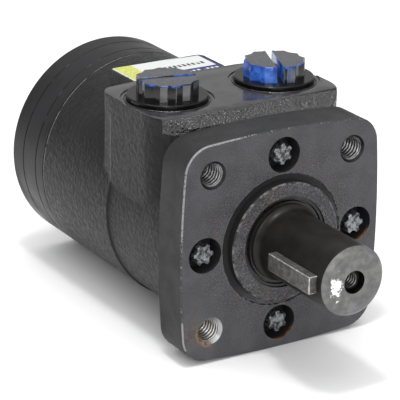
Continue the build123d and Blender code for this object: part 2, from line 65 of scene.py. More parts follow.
# Places that the frame gives, in metres
mounts = {m["name"]: m for m in frame["record"]["mounts"]}
flange_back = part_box("mounting_flange")[1].y
pilot_radius = mounts["mounting_pilot"]["dims"]["r_mm"] * mm
hole_spacing = mounts["mounting_holes"]["dims"]["spacing_x_mm"] * mm
hole_minor = mounts["mounting_holes"]["dims"]["hole_r_mm"] * mm
hole_centres = [(sx * hole_spacing / 2, sz * hole_spacing / 2) for sx in (-1, 1) for sz in (-1, 1)]
tip_minor = mounts["shaft_end_thread"]["dims"]["r_mm"] * mm
shaft_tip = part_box("output_shaft")[0].y
port_centres = {"left": mounts["port_left"]["pos_m"][:2], "right": mounts["port_right"]["pos_m"][:2]}
plug_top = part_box("port_plug_left")[1].z
star_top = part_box("flange_screws")[0].y
plate_low, plate_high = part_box("nameplate")

# Places inside a node, as in the CAD model
screw_circle = 31.87 * mm
groove_radius = 24.5 * mm
pad_top = 44.4 * mm
barrel_radius, barrel_front, barrel_rear = 41.3 * mm, 53.4 * mm, 102.9 * mm
disc_top = 46.05 * mm
collar_front = 6.6 * mm

# Limits that take in the whole slope in front of the ports, and the floor of the hole in the shaft's end
slope_rear, slope_low = 21.6 * mm, 40.6 * mm
tip_hole_reach = 19.3 * mm

# Threads and the countersinks at their mouths
hole_major, hole_thread_pitch, hole_thread_depth = 4.76 * mm, 25.4 / 16 * mm, 12.4 * mm
hole_mouth, hole_mouth_depth = 5.2 * mm, 1.2 * mm
tip_major, tip_thread_pitch, tip_thread_depth = 3.175 * mm, 25.4 / 20 * mm, 17.5 * mm
tip_mouth, tip_throat, tip_mouth_depth = 4.2 * mm, 3.3 * mm, 2.4 * mm


# ---------------------------------------------------------------- shader helpers
class Shader:
    """A node material with one Principled shader. Sizes are in metres, colours are linear."""

    def __init__(self, name, roughness=0.5, metallic=0.0, specular=0.5):
        self.mat = bpy.data.materials.new(name)
        self.mat.use_nodes = True
        self.tree = self.mat.node_tree
        self.bsdf = self.tree.nodes["Principled BSDF"]
        self.set("Roughness", roughness)
        self.set("Metallic", metallic)
        self.set("Specular IOR Level", specular)
        texture = self.node("ShaderNodeTexCoord")
        self.place, self.facing = texture.outputs["Object"], texture.outputs["Normal"]
        self.x, self.y, self.z = self.split(self.place)
        self.nx, self.ny, self.nz = self.split(self.facing)

    def node(self, kind, **props):
        n = self.tree.nodes.new(kind)
        for key, value in props.items():
            setattr(n, key, value)
        return n

    def feed(self, n, socket, value):
        if hasattr(value, "is_linked"):
            self.tree.links.new(value, n.inputs[socket])
        elif value is not None:
            n.inputs[socket].default_value = value

    def set(self, socket, value):
        self.bsdf.inputs[socket].default_value = value

    def link(self, out, socket):
        self.tree.links.new(out, self.bsdf.inputs[socket])

    def split(self, vector):
        n = self.node("ShaderNodeSeparateXYZ")
        self.feed(n, "Vector", vector)
        return n.outputs[0], n.outputs[1], n.outputs[2]

    def stretched(self, scale):
        n = self.node("ShaderNodeMapping")
        self.feed(n, "Vector", self.place)
        n.inputs["Scale"].default_value = scale
        return n.outputs["Vector"]

    def noise(self, size, detail=2.0, rough=0.5, vector=None):
        n = self.node("ShaderNodeTexNoise")
        self.feed(n, "Vector", vector or self.place)
        for socket, value in (("Scale", 1 / size), ("Detail", detail), ("Roughness", rough)):
            n.inputs[socket].default_value = value
        return n.outputs["Fac"]

    def step(self, value, low, high, out_low=0.0, out_high=1.0):
        """Rises smoothly from out_low to out_high as value goes from low to high."""
        n = self.node("ShaderNodeMapRange", interpolation_type="SMOOTHSTEP")
        for socket, v in (("Value", value), ("From Min", low), ("From Max", high),
                          ("To Min", out_low), ("To Max", out_high)):
            self.feed(n, socket, v)
        return n.outputs["Result"]

    def math(self, op, *values):
        n = self.node("ShaderNodeMath", operation=op)
        for i, value in enumerate(values):
            self.feed(n, i, value)
        return n.outputs[0]

    def times(self, *values):
        out = values[0]
        for value in values[1:]:
            out = self.math("MULTIPLY", out, value)
        return out

    def most(self, *values):
        out = values[0]
        for value in values[1:]:
            out = self.math("MAXIMUM", out, value)
        return out

    def band(self, value, low, high, soft):
        """1 between low and high, falling to 0 over soft on each side."""
        return self.times(self.step(value, low - soft, low), self.step(value, high, high + soft, 1.0, 0.0))

    def mix(self, factor, a, b):
        n = self.node("ShaderNodeMix", data_type="RGBA")
        self.feed(n, 0, factor)
        for i, value in ((6, a), (7, b)):
            self.feed(n, i, value if hasattr(value, "is_linked") else (*value, 1.0))
        return n.outputs[2]

    def distance(self, a, b, centre):
        """How far a point lies from a centre in the plane of a and b."""
        da, db = self.math("SUBTRACT", a, centre[0]), self.math("SUBTRACT", b, centre[1])
        return self.math("SQRT", self.math("ADD", self.times(da, da), self.times(db, db)))

    def along(self, a, b, centre, direction):
        """How far a point lies from a centre along a direction in the plane of a and b."""
        da, db = self.math("SUBTRACT", a, centre[0]), self.math("SUBTRACT", b, centre[1])
        return self.math("ADD", self.times(da, direction[0]), self.times(db, direction[1]))

    def bump(self, height, depth, below=None):
        n = self.node("ShaderNodeBump")
        self.feed(n, "Height", height)
        n.inputs["Distance"].default_value = depth
        if below:
            self.tree.links.new(below, n.inputs["Normal"])
        return n.outputs["Normal"]


# ---------------------------------------------------------------- materials
RUST = (0.27, 0.115, 0.04)


def cast_paint():
    """Semi-gloss black paint over the rough casting. The light line at the rear seam on the left is paint
    worn to metal and a painted highlight.
    """
    s = Shader("black_casting", 0.4, specular=0.17)
    dapple = s.noise(1.7 * mm, 3, 0.6)
    pores = s.noise(0.42 * mm, 2)
    patches = s.noise(16 * mm, 3)
    seam = s.step(s.y, barrel_rear - 0.7 * mm, barrel_rear - 0.45 * mm)
    # broken light line along the rear seam on the left side: worn paint and painted highlight
    seam_wear_and_highlight = s.times(seam, s.step(s.noise(2.2 * mm, 3), 0.34, 0.5), s.step(s.x, 4 * mm, -8 * mm))
    # light line along the step at the front of the barrel, on both flat sides: worn paint and painted
    # highlight
    front_seam = s.band(s.y, barrel_front - 0.05 * mm, barrel_front + 0.35 * mm, 0.12 * mm)
    corner = s.times(front_seam, s.band(s.z, 13 * mm, 36.5 * mm, 2 * mm),
                     s.step(s.math("ABSOLUTE", s.x), 38.8 * mm, 39.2 * mm))
    tone = s.mix(s.step(patches, 0.35, 0.65), (0.009, 0.009, 0.0094), (0.0145, 0.0145, 0.015))
    tone = s.mix(s.times(s.step(pores, 0.52, 0.72), 0.6), tone, (0.004, 0.004, 0.0042))
    tone = s.mix(s.times(corner, 0.8), tone, (0.10, 0.10, 0.10))
    tone = s.mix(seam_wear_and_highlight, tone, (0.45, 0.45, 0.45))
    s.link(tone, "Base Color")
    s.link(s.step(dapple, 0.3, 0.7, 0.28, 0.48), "Roughness")
    low = s.bump(dapple, 0.42 * mm)
    s.link(s.bump(pores, 0.10 * mm, low), "Normal")
    return s.mat


def pad_paint():
    """Glossy paint on the machined top face, smooth enough to mirror the plugs."""
    s = Shader("black_casting_pad", 0.1, specular=0.32)
    film = s.noise(6 * mm, 3)
    specks = s.step(s.noise(0.5 * mm, 2), 0.68, 0.76)
    tone = s.mix(s.step(film, 0.35, 0.65), (0.030, 0.030, 0.032), (0.046, 0.046, 0.048))
    s.link(s.mix(s.times(specks, 0.5), tone, (0.16, 0.16, 0.16)), "Base Color")
    s.link(s.step(film, 0.3, 0.7, 0.07, 0.17), "Roughness")
    s.link(s.bump(s.noise(3 * mm, 2), 0.012 * mm), "Normal")
    return s.mat


def slope_paint():
    """Thicker glossy paint run over the rough slope in front of the ports."""
    s = Shader("black_casting_slope", 0.12, specular=0.9)
    lumps = s.noise(0.85 * mm, 2)
    wet = s.noise(1.9 * mm, 2)
    s.link(s.mix(s.step(lumps, 0.4, 0.6), (0.003, 0.003, 0.0032), (0.008, 0.008, 0.0083)), "Base Color")
    s.link(s.step(wet, 0.35, 0.65, 0.07, 0.15), "Roughness")
    s.link(s.bump(lumps, 0.9 * mm), "Normal")
    return s.mat


def flange_paint():
    """Thin sandy black paint, brownish round the pilot, rusty where bolts have rubbed it."""
    s = Shader("black_flange", 0.5, specular=0.22)
    sand = s.noise(0.5 * mm, 2, 0.7)
    patches = s.noise(9 * mm, 3)
    front = s.step(s.ny, -0.9, -0.99)
    from_axis = s.distance(s.x, s.z, (0, 0))
    near = s.step(from_axis, 40 * mm, 24 * mm)
    cool = s.mix(s.step(patches, 0.35, 0.65), (0.058, 0.058, 0.064), (0.076, 0.076, 0.084))
    brown = s.times(s.band(from_axis, 16 * mm, 25 * mm, 9 * mm), s.step(s.noise(5 * mm, 4), 0.42, 0.72))
    tone = s.mix(s.times(brown, 0.4), cool, (0.105, 0.078, 0.056))
    tone = s.mix(s.times(s.step(sand, 0.5, 0.36), s.math("ADD", s.times(near, 0.5), 0.25)), tone,
                 (0.012, 0.012, 0.013))
    tone = s.mix(s.times(s.step(sand, 0.56, 0.72), s.math("ADD", s.times(near, 0.35), 0.2)), tone,
                 (0.27, 0.26, 0.245))
    tone = s.mix(front, s.mix(s.noise(1.5 * mm, 3), (0.012, 0.012, 0.0125), (0.026, 0.026, 0.028)), tone)
    # painted highlights: light rings on the outer lip of the groove round the pilot and on the pilot's
    # front edge, broken up by noise
    groove_lip_highlight = s.band(from_axis, groove_radius - 0.05 * mm, groove_radius + 0.45 * mm, 0.12 * mm)
    rim = s.times(s.band(from_axis, pilot_radius - 0.6 * mm, pilot_radius + 0.1 * mm, 0.1 * mm),
                  s.step(s.y, -2.2 * mm, -2.35 * mm))
    highlight_breakup = s.step(s.noise(1.6 * mm, 3), 0.42, 0.6)
    tone = s.mix(s.times(s.most(s.times(groove_lip_highlight, 0.45), s.times(rim, 0.5)), highlight_breakup), tone, (0.24, 0.235, 0.225))
    # painted shade: the floor of the groove round the pilot is darkened, fading out towards the lower right
    shaded = s.step(s.along(s.x, s.z, (0, 0), (-0.6, 0.8)), -14 * mm, 2 * mm)
    groove_shade = s.times(s.step(s.y, 0.3 * mm, 0.5 * mm),
                     s.band(from_axis, pilot_radius, groove_radius - 0.2 * mm, 0.2 * mm))
    tone = s.mix(s.times(groove_shade, shaded), tone, (0.014, 0.014, 0.0145))
    # painted shade: the side wall of the pilot is darkened all round
    wall = s.times(s.band(from_axis, pilot_radius - 0.1 * mm, pilot_radius + 0.1 * mm, 0.05 * mm),
                   s.step(s.ny, -0.5, -0.3))
    tone = s.mix(wall, tone, (0.010, 0.010, 0.0105))
    marks = []
    for cx, cz in ((screw_circle, 0), (0, -screw_circle)):
        ring = s.band(s.distance(s.x, s.z, (cx, cz)), 6.5 * mm, 6.9 * mm, 0.3 * mm)
        marks.append(s.times(ring, s.step(s.along(s.x, s.z, (cx, cz), (0.35, -0.94)), 3.4 * mm, 6 * mm),
                             s.step(s.y, 1.6 * mm, 0.5 * mm), s.step(s.ny, -0.95, -0.5, 0.35, 1.0)))
    low_left = hole_centres[0]
    marks.append(s.times(s.band(s.distance(s.x, s.z, low_left), 4.9 * mm, 5.6 * mm, 0.8 * mm),
                         s.step(s.along(s.x, s.z, low_left, (-0.75, -0.65)), 2.2 * mm, 4.6 * mm)))
    halo = s.times(s.step(s.distance(s.x, s.z, (-37 * mm, -28 * mm)), 9 * mm, 2 * mm), front,
                   s.step(s.noise(1.6 * mm, 4), 0.44, 0.62))
    tone = s.mix(s.times(halo, 0.7), tone, (0.12, 0.085, 0.05))
    rust = s.times(s.most(*marks), s.step(s.noise(1.1 * mm, 3), 0.36, 0.56))
    tone = s.mix(s.times(rust, 0.85), tone, RUST)
    s.link(tone, "Base Color")
    s.link(s.step(patches, 0.3, 0.7, 0.42, 0.58), "Roughness")
    soft = s.bump(s.noise(2.5 * mm, 2), 0.08 * mm)
    s.link(s.bump(sand, 0.22 * mm, soft), "Normal")
    return s.mat


def wear_and_highlight_edge():
    """Front edge of the flange: paint rubbed to bare metal on the left and at the corners, which also
    stands for a painted highlight there.
    """
    s = Shader("black_flange_edge", 0.42, specular=0.35)
    speck = s.noise(0.7 * mm, 3, 0.7)
    left = s.step(s.x, -20 * mm, -38 * mm)
    top_left = s.times(s.step(s.z, 20 * mm, 36 * mm), s.step(s.x, -8 * mm, -30 * mm, 0.25, 0.9))
    low = s.step(s.z, 14 * mm, -2 * mm, 0.85, 0.3)
    chip = s.times(left, s.band(s.z, -34 * mm, -25 * mm, 2 * mm))
    amount = s.most(s.times(left, low), top_left, chip, 0.12)
    # light specks on the edge: bare metal where the paint is worn, and a painted highlight
    bare = s.step(s.math("ADD", speck, s.times(amount, 0.36)), 0.66, 0.76)
    s.link(s.mix(bare, (0.03, 0.03, 0.032), (0.24, 0.24, 0.24)), "Base Color")
    s.link(s.times(bare, 0.3), "Metallic")
    s.link(s.bump(speck, 0.08 * mm), "Normal")
    return s.mat


def thread_steel(name, centres, minor, major, dark, light, bright_spot=None):
    """Cut threads, with a painted highlight on the crests over painted shade in the roots. The one at
    bright_spot is bare and rusty at its mouth.
    """
    s = Shader(name, 0.36, 0.85)
    radii = [s.distance(s.x, s.z, centre) for centre in centres]
    radius = radii[0]
    for other in radii[1:]:
        radius = s.math("MINIMUM", radius, other)
    stain = s.noise(1.3 * mm, 3)
    # painted highlight on the thread crests and painted shade in the roots
    crest = s.step(radius, minor + 0.62 * (major - minor), minor + 0.15 * (major - minor))
    tone = s.mix(s.times(crest, s.step(stain, 0.2, 0.6, 0.5, 1.0)), dark, light)
    if bright_spot:
        spot = s.step(s.distance(s.x, s.z, bright_spot), 9 * mm, 8 * mm)
        mouth = s.step(s.y, 1.0 * mm, 0.7 * mm)
        tone = s.mix(spot, tone, s.mix(crest, (0.05, 0.047, 0.043), (0.55, 0.54, 0.52)))
        tone = s.mix(s.times(mouth, 0.6), tone, s.mix(spot, (0.03, 0.03, 0.032), (0.62, 0.64, 0.66)))
        rust = s.times(spot, s.step(stain, 0.46, 0.6),
                       s.step(s.along(s.x, s.z, bright_spot, (-0.8, -0.6)), 0.8 * mm, 3.4 * mm))
        tone = s.mix(rust, tone, RUST)
    s.link(tone, "Base Color")
    s.link(s.bump(s.noise(0.3 * mm, 2), 0.02 * mm), "Normal")
    return s.mat


def plated(name, dark, light, roughness, size, depth, metallic=1.0, specular=0.5):
    """Metal, rubber or plastic with mottling of the given size."""
    s = Shader(name, roughness, metallic, specular)
    mottle = s.noise(size, 4, 0.6)
    s.link(s.mix(s.step(mottle, 0.35, 0.65), dark, light), "Base Color")
    s.link(s.step(s.noise(size * 2.3, 2), 0.3, 0.7, roughness * 0.75, roughness * 1.3), "Roughness")
    s.link(s.bump(mottle, depth), "Normal")
    return s.mat


def turned_steel(name, tone, roughness):
    """Ground or turned steel: fine rings about the shaft axis and a slight oil stain."""
    s = Shader(name, roughness, 1.0)
    rings = s.noise(0.5 * mm, 2, vector=s.stretched((0.03, 1, 0.03)))
    stain = s.noise(7 * mm, 3)
    s.link(s.mix(stain, tuple(c * 0.8 for c in tone), tone), "Base Color")
    s.link(s.step(stain, 0.3, 0.7, roughness * 0.8, roughness * 1.25), "Roughness")
    s.link(s.bump(rings, 0.01 * mm), "Normal")
    return s.mat


def stack_paint():
    """Black paint on the turned plates of the stack, with a broken light line along the upper part of their
    edges: rubbed paint and a painted highlight.
    """
    s = Shader("black_plate", 0.36, specular=0.18)
    mottle = s.noise(1.4 * mm, 3)
    patches = s.noise(12 * mm, 3)
    tone = s.mix(s.step(patches, 0.35, 0.65), (0.010, 0.0095, 0.0105), (0.0155, 0.0148, 0.0165))
    out = s.distance(s.x, s.z, (0, 0))
    groove = s.step(out, barrel_radius - 0.02 * mm, barrel_radius - 0.2 * mm)
    # broken light line along the upper edges of the plates: rubbed paint and painted highlight
    rubbed = s.times(groove, s.step(out, barrel_radius - 0.4 * mm, barrel_radius - 0.2 * mm),
                     s.step(s.noise(3 * mm, 3), 0.56, 0.66), s.step(s.z, 10 * mm, 26 * mm))
    tone = s.mix(groove, tone, (0.002, 0.002, 0.002))
    s.link(s.mix(s.times(rubbed, 0.5), tone, (0.14, 0.14, 0.14)), "Base Color")
    s.link(s.step(patches, 0.3, 0.7, 0.28, 0.46), "Roughness")
    s.link(s.bump(mottle, 0.05 * mm), "Normal")
    return s.mat


def shaft_finish():
    """Black oxide on the turned side, bare grey turned end with a near-white matt patch left of the centre.
    """
    s = Shader("shaft_steel", 0.36, 0.0, specular=0.2)
    tip = s.step(s.y, shaft_tip + 1.7 * mm, shaft_tip + 1.3 * mm)
    end = s.step(s.ny, -0.8, -0.95)
    rings = s.noise(0.35 * mm, 2, vector=s.stretched((0.02, 1, 0.02)))
    cut = s.node("ShaderNodeTexWave", wave_type="RINGS", rings_direction="Y")
    cut.inputs["Scale"].default_value = 420
    cut.inputs["Distortion"].default_value = 1.5
    cut.inputs["Detail"].default_value = 2
    s.feed(cut, "Vector", s.place)
    side = s.mix(s.step(s.noise(6 * mm, 3), 0.3, 0.7), (0.0075, 0.0066, 0.0056), (0.014, 0.012, 0.0105))
    grey = s.mix(s.step(s.noise(2.4 * mm, 4), 0.3, 0.7), (0.13, 0.13, 0.13), (0.20, 0.198, 0.195))
    grey = s.mix(s.times(s.step(cut.outputs["Fac"], 0.4, 0.9), 0.12), grey, (0.08, 0.08, 0.08))
    # a near-white matt patch on the end face, left of the centre hole
    white_patch_at = s.distance(s.x, s.times(s.z, 0.6), (-7.7 * mm, -0.2 * mm))
    white_patch = s.step(s.math("ADD", white_patch_at, s.times(s.noise(1.7 * mm, 3, 0.6), 9 * mm)), 6.7 * mm, 6.1 * mm)
    grey = s.mix(s.times(white_patch, end), grey, (0.9, 0.9, 0.9))
    s.link(s.mix(tip, side, grey), "Base Color")
    s.link(s.times(tip, s.math("SUBTRACT", 1.0, s.times(white_patch, 0.8)), 0.6), "Metallic")
    s.link(s.mix(tip, (0.36, 0.36, 0.36), s.mix(white_patch, (0.46, 0.46, 0.46), (0.65, 0.65, 0.65))), "Roughness")
    fine = s.bump(s.times(rings, s.math("SUBTRACT", 1.0, tip)), 0.02 * mm)
    s.link(s.bump(s.times(cut.outputs["Fac"], end), 0.02 * mm, fine), "Normal")
    return s.mat


def plug_finish(side):
    """Blue moulded plastic caught by black spray: tops greyed over, edges and some flats left blue, and a
    painted highlight in light grey on some flats.
    """
    s = Shader(f"plug_plastic_{side}", 0.22)
    cx, cy = port_centres[side]
    patches = s.noise(3.2 * mm, 4)
    fine = s.noise(0.5 * mm, 3)
    spray_from, reach = {"left": ((-0.45, -0.9), 0.75), "right": ((0.92, -0.38), -0.05)}[side]
    top = s.step(s.nz, 0.6, 0.9)
    out = s.distance(s.x, s.y, (cx, cy))
    toward = s.along(s.nx, s.ny, (0, 0), spray_from)
    sprayed = s.step(s.math("ADD", s.math("ADD", toward, reach), s.times(patches, 0.5)), 0.2, 0.4)
    # painted highlight: light grey on every other flat of the sprayed sides, picked by which way the flat
    # faces
    flat_highlight = s.times(sprayed, s.step(s.math("SINE", s.times(s.math("ARCTAN2", s.ny, s.nx), 6.0)), 0.2, 0.5),
                    s.step(s.nx, 0.45, 0.55, 1.0, 0.0), s.step(s.nx, -0.5, -0.3),
                    s.step(s.z, plug_top - 0.4 * mm, plug_top - 0.7 * mm))
    rim = s.times(s.step(s.z, plug_top - 1.2 * mm, plug_top - 0.35 * mm), s.step(patches, 0.4, 0.6))
    disc = s.step(s.z, pad_top + 2.0 * mm, pad_top + 1.5 * mm)
    black = s.most(top, disc, s.times(sprayed, s.math("SUBTRACT", 1.0, s.times(rim, 0.8))))
    dust = s.mix(s.step(fine, 0.35, 0.7), (0.040, 0.041, 0.047), (0.085, 0.087, 0.096))
    coat = s.mix(s.times(top, s.step(out, 12.6 * mm, 12.2 * mm)), (0.006, 0.006, 0.0065), dust)
    blue = s.mix(s.step(patches, 0.35, 0.7), (0.012, 0.05, 0.30), (0.05, 0.17, 0.60))
    coat = s.mix(s.times(flat_highlight, s.math("SUBTRACT", 1.0, top)), coat, (0.12, 0.12, 0.125))
    s.link(s.mix(black, blue, coat), "Base Color")
    s.link(s.mix(s.times(top, 0.9), (0.15, 0.15, 0.15), (0.42, 0.42, 0.42)), "Roughness")
    s.link(s.bump(fine, 0.015 * mm), "Normal")
    return s.mat


def label_print():
    """Label print: yellow end, white middle with grey dashes, dark blue band with pale marks."""
    s = Shader("label_paper", 0.42, specular=0.3)
    size = plate_high - plate_low
    u = s.math("DIVIDE", s.math("SUBTRACT", s.x, plate_low.x), size.x)
    v = s.math("DIVIDE", s.math("SUBTRACT", s.y, plate_low.y), size.y)
    fine = s.noise(0.8 * mm, 2)
    yellow = s.mix(s.noise(1.2 * mm, 4), (0.30, 0.32, 0.03), (0.70, 0.72, 0.22))
    tone = s.mix(s.band(u, 0.02, 0.21, 0.01), (0.60, 0.61, 0.60), yellow)
    stroke = s.band(s.math("FRACT", s.times(s.x, 1 / (2.0 * mm))), 0.15, 0.72, 0.06)
    breaks = s.step(s.noise(2.6 * mm, 1, vector=s.stretched((1, 0.3, 0))), 0.34, 0.42)
    strokes = s.times(stroke, breaks)
    ink = s.times(strokes, s.band(u, 0.25, 0.90, 0.005), s.band(v, 0.56, 0.66, 0.01))
    tone = s.mix(ink, tone, (0.05, 0.05, 0.06))
    band = s.times(s.band(u, 0.52, 1.0, 0.004), s.step(v, 0.42, 0.40))
    marks = s.times(strokes, s.band(v, 0.24, 0.33, 0.01))
    tone = s.mix(band, tone, s.mix(marks, (0.018, 0.022, 0.12), (0.55, 0.57, 0.62)))
    border = s.times(s.most(s.step(u, 0.965, 0.975), s.step(v, 0.955, 0.965)), s.step(u, 0.55, 0.9))
    tone = s.mix(border, tone, (0.012, 0.02, 0.11))
    tone = s.mix(s.times(s.step(s.noise(1.3 * mm, 4), 0.6, 0.68), s.step(u, 0.24, 0.06)), tone,
                 (0.05, 0.05, 0.03))
    s.link(tone, "Base Color")
    s.link(s.bump(fine, 0.01 * mm), "Normal")
    return s.mat


looks = {
    "black_casting": cast_paint(),
    "black_flange": flange_paint(),
    "black_plate": stack_paint(),
    "bare_screw_steel": plated("bare_screw_steel", (0.035, 0.036, 0.04), (0.30, 0.305, 0.32), 0.42,
                               1.3 * mm, 0.25 * mm, 0.8),
    "screw_black": plated("screw_black", (0.006, 0.006, 0.006), (0.014, 0.014, 0.014), 0.4,
                          1.0 * mm, 0.05 * mm, 0.0, 0.3),
    "bolt_steel": plated("bolt_steel", (0.013, 0.013, 0.014), (0.024, 0.024, 0.025), 0.42,
                         0.9 * mm, 0.05 * mm, 0.0, 0.35),
    "bare_steel": turned_steel("bare_steel", (0.52, 0.52, 0.53), 0.28),
    "shaft_steel": shaft_finish(),
    "key_steel": plated("key_steel", (0.075, 0.073, 0.068), (0.15, 0.146, 0.136), 0.45,
                        1.6 * mm, 0.04 * mm, 0.6),
    "key_edge_wear_and_highlight": plated("key_edge_wear_and_highlight", (0.28, 0.275, 0.26), (0.62, 0.61, 0.58), 0.4, 1.2 * mm, 0.03 * mm, 0.6),
    "seal_rubber": plated("seal_rubber", (0.007, 0.007, 0.007), (0.014, 0.014, 0.014), 0.34,
                          1.2 * mm, 0.03 * mm, 0.0, 0.4),
    "plug_rubber": plated("plug_rubber", (0.005, 0.005, 0.005), (0.010, 0.010, 0.011), 0.12,
                          1.0 * mm, 0.12 * mm, 0.0),
    "plug_disc": plated("plug_disc", (0.003, 0.003, 0.003), (0.007, 0.007, 0.0075), 0.16, 4 * mm,
                        0.01 * mm, 0.0, 0.18),
    "plug_plastic": plug_finish("left"),
    "plug_plastic_right": plug_finish("right"),
    "label_paper": label_print(),
    "slope": slope_paint(),
    "pad": pad_paint(),
    "edge": wear_and_highlight_edge(),
    "thread": thread_steel("bare_thread", hole_centres, hole_minor, hole_major, (0.008, 0.008, 0.008),
                           (0.34, 0.34, 0.34), hole_centres[0]),
    "tip_thread": thread_steel("shaft_thread", [(0, 0)], tip_minor, tip_major,
                               (0.006, 0.006, 0.006), (0.16, 0.16, 0.155)),
}
slot_of = {part["node"]: part["material_slot"] for part in frame["record"]["subparts"]}
for name, node in nodes.items():
    for slot in node.material_slots:
        slot.material = looks[slot_of[name]]
nodes["port_plug_right"].material_slots[0].material = looks["plug_plastic_right"]


# ---------------------------------------------------------------- mesh helpers
def new_piece(name, bm, materials, body, replaces=(), sharp_angle=32):
    """Turns a bmesh into a smooth-shaded piece riding on a CAD body."""
    mesh = bpy.data.meshes.new(name)
    bm.normal_update()
    for face in bm.faces:
        face.smooth = True
    limit = math.radians(sharp_angle)
    for edge in bm.edges:
        edge.smooth = len(edge.link_faces) == 2 and edge.calc_face_angle(0) < limit
    bm.to_mesh(mesh)
    bm.free()
    for material in materials:
        mesh.materials.append(looks[material])
    piece = bpy.data.objects.new(name, mesh)
    scene.collection.objects.link(piece)
    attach(piece, body)
    if replaces:
        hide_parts(*replaces)
    return piece


def cad_mesh(node):
    """A bmesh of a CAD node with its split vertices joined."""
    bm = bmesh.new()
    bm.from_mesh(nodes[node].data)
    bmesh.ops.remove_doubles(bm, verts=bm.verts, dist=1e-6)
    return bm


def drop_faces(bm, test):
    """Deletes the faces whose corners all pass the test."""
    doomed = [f for f in bm.faces if all(test(v.co) for v in f.verts)]
    bmesh.ops.delete(bm, geom=doomed, context="FACES")


def use_material(bm, index, wanted):
    """Gives a material to the faces that are wanted, judged by their middle and their normal."""
    for face in bm.faces:
        if wanted(face.calc_center_median(), face.normal):
            face.material_index = index


def round_edges(bm, width, wanted, segments=2, least_angle=40):
    """Rounds the sharp edges that are wanted, after joining flat facets into whole faces."""
    bmesh.ops.dissolve_limit(bm, angle_limit=math.radians(0.4), verts=bm.verts, edges=bm.edges)
    limit = math.radians(least_angle)
    edges = [e for e in bm.edges if len(e.link_faces) == 2 and e.calc_face_angle(0) > limit
             and wanted((e.verts[0].co + e.verts[1].co) / 2)]
    bmesh.ops.bevel(bm, geom=edges, offset=width, segments=segments, profile=0.5, affect="EDGES",
                    clamp_overlap=True)
    bmesh.ops.triangulate(bm, faces=[f for f in bm.faces if len(f.verts) > 4])


def densify(bm, wanted, length, rounds=8):
    """Splits the wanted region's edges that are longer than length, in at most so many rounds."""
    for _ in range(rounds):
        long_edges = [e for e in bm.edges if e.calc_length() > length
                      and (wanted(e.verts[0].co) or wanted(e.verts[1].co))]
        if not long_edges:
            return
        bmesh.ops.subdivide_edges(bm, edges=long_edges, cuts=1)
        bmesh.ops.triangulate(bm, faces=[f for f in bm.faces if len(f.verts) > 3])


DRILL_POINT = 0.6  # depth of a drill's point over its radius


def threaded_hole(bm, centre, mouth_y, mouth_radius, throat_radius, mouth_depth, minor, major, pitch,
                  depth, material, columns=72, rows_per_pitch=10):
    """Adds the wall of a tapped blind hole running in +Y from mouth_y, with a countersunk mouth."""
    rows = int(depth / pitch * rows_per_pitch)
    rings = []
    for row in range(rows + 1):
        y = depth * row / rows
        ring = []
        for column in range(columns):
            turn = column / columns
            flank = abs(2 * ((y / pitch - turn) % 1.0) - 1)
            # a tenth of each turn is flat at the crest, and a tenth at the root
            radius = minor + (major - minor) * min(1, max(0, 1.25 * flank - 0.125))
            if y < mouth_depth:
                radius = mouth_radius - (mouth_radius - throat_radius) * y / mouth_depth
            elif y > depth - pitch:
                radius = minor
            angle = 2 * math.pi * turn
            ring.append(bm.verts.new((centre[0] + radius * math.cos(angle), mouth_y + y,
                                      centre[1] + radius * math.sin(angle))))
        rings.append(ring)
    tip = bm.verts.new((centre[0], mouth_y + depth + DRILL_POINT * minor, centre[1]))
    faces = []
    for near, far in zip(rings, rings[1:]):
        for i in range(columns):
            j = (i + 1) % columns
            faces.append(bm.faces.new((near[i], near[j], far[j], far[i])))
    for i in range(columns):
        faces.append(bm.faces.new((rings[-1][i], rings[-1][(i + 1) % columns], tip)))
    for face in faces:
        face.material_index = material


# ---------------------------------------------------------------- mounting flange
def front_edge(middle, normal):
    """On the bevel round the front of the plate."""
    outside = max(abs(middle.x), abs(middle.z)) > 36 * mm or math.hypot(middle.x, middle.z) > 46 * mm
    return outside and middle.y < 0.6 * mm and abs(normal.y) < 0.95


bm = cad_mesh("mounting_flange")
for cx, cz in hole_centres:
    drop_faces(bm, lambda p: math.hypot(p.x - cx, p.z - cz) < hole_mouth + 0.02 * mm)
bm.normal_update()
use_material(bm, 1, front_edge)
for centre in hole_centres:
    threaded_hole(bm, centre, 0.0, hole_mouth, hole_minor, hole_mouth_depth, hole_minor, hole_major,
                  hole_thread_pitch, hole_thread_depth, 2)
new_piece("flange_body", bm, ["black_flange", "edge", "thread"], "motor_body",
          ["mounting_flange"])

# ---------------------------------------------------------------- flange screws
bm = cad_mesh("flange_screws")
round_edges(bm, 0.4 * mm, lambda p: p.y < star_top + 0.01 * mm, 3)
use_material(bm, 1, lambda middle, normal: middle.y > collar_front - 0.05 * mm)
new_piece("star_head_screws", bm, ["bare_screw_steel", "screw_black"], "motor_body",
          ["flange_screws"])

# ---------------------------------------------------------------- housing casting
skin_height, skin_radius, skin_side = 40.9 * mm, 40.2 * mm, 38.2 * mm
slope_lumps = ((1.1 * mm, 0.22), (0.55 * mm, 0.14))
cast_lumps = ((2.6 * mm, 0.055), (1.3 * mm, 0.03))


def outer_skin(p):
    """On the outside of the casting: its top, its round barrel or a flat side."""
    return p.z > skin_height or math.hypot(p.x, p.z) > skin_radius or abs(p.x) > skin_side


def on_slope(p):
    return p.y < slope_rear and p.z > slope_low - 1.5 * mm and p.z < pad_top - 0.02 * mm


def outer_edge(p):
    off_ports = all(math.hypot(p.x - cx, p.y - cy) > 18 * mm for cx, cy in port_centres.values())
    return outer_skin(p) and off_ports and flange_back + 0.2 * mm < p.y < barrel_rear - 1 * mm


